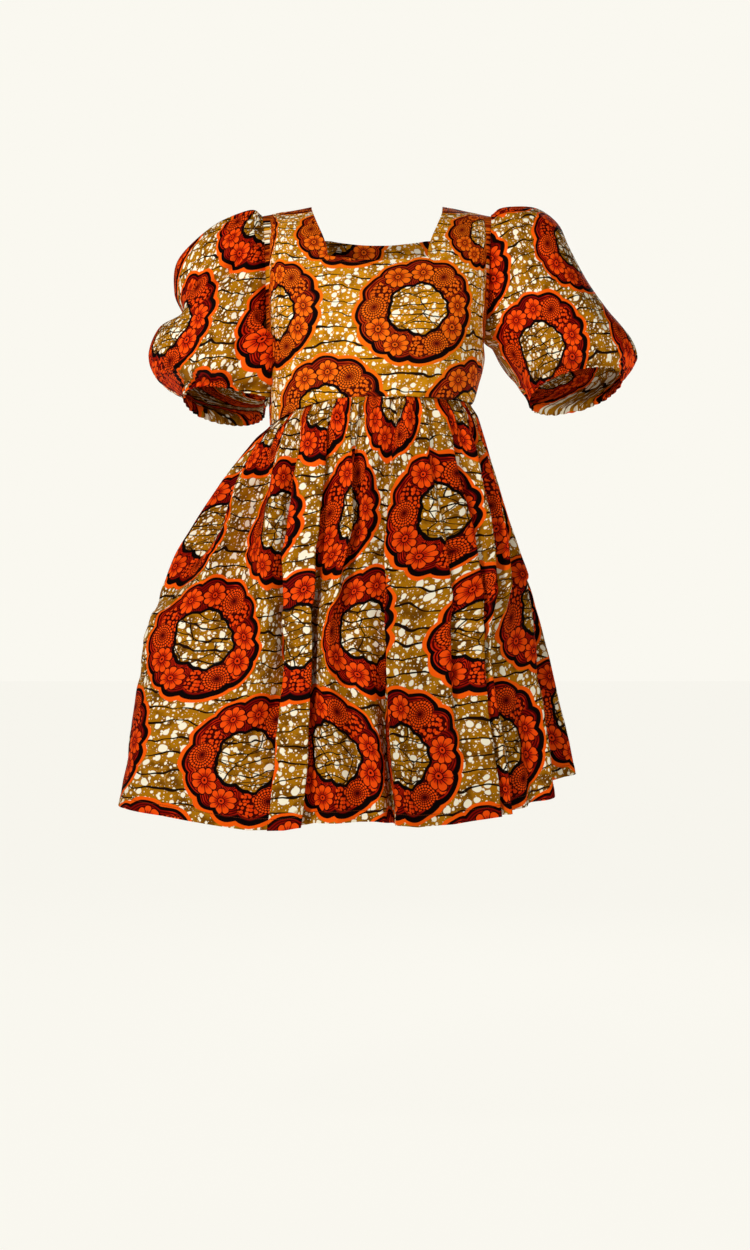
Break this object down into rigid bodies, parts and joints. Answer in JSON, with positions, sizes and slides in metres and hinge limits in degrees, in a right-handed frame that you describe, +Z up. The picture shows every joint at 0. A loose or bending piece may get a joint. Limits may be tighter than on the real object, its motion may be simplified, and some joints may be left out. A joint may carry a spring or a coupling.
{
  "type": "ankara wax print dress",
  "caption": "Hollow knee-length wax print dress, as worn: square neck, fitted bodice, puff sleeves with elastic cuffs, full gathered skirt.",
  "frame": {"origin": "midway between the tops of the two shoulder straps, where the dress is held up", "axes": "+Z up, front of the dress towards -Y, the wearer's left side towards +X"},
  "size_m": [0.7851, 0.5, 0.9514],
  "materials": {
    "wax_print_cotton": "wax print cotton: red and orange flower rings with dark outlines on a mustard ground with cream bubbles, faint glazed sheen"
  },
  "bodies": {
    "root": {"bodice_front": "wax_print_cotton", "bodice_back_left": "wax_print_cotton", "bodice_back_right": "wax_print_cotton", "sleeve_left": "wax_print_cotton", "sleeve_right": "wax_print_cotton", "cuff_left": "wax_print_cotton", "cuff_right": "wax_print_cotton", "skirt_front": "wax_print_cotton", "skirt_back_left": "wax_print_cotton", "skirt_back_right": "wax_print_cotton"}
  },
  "joints": []
}
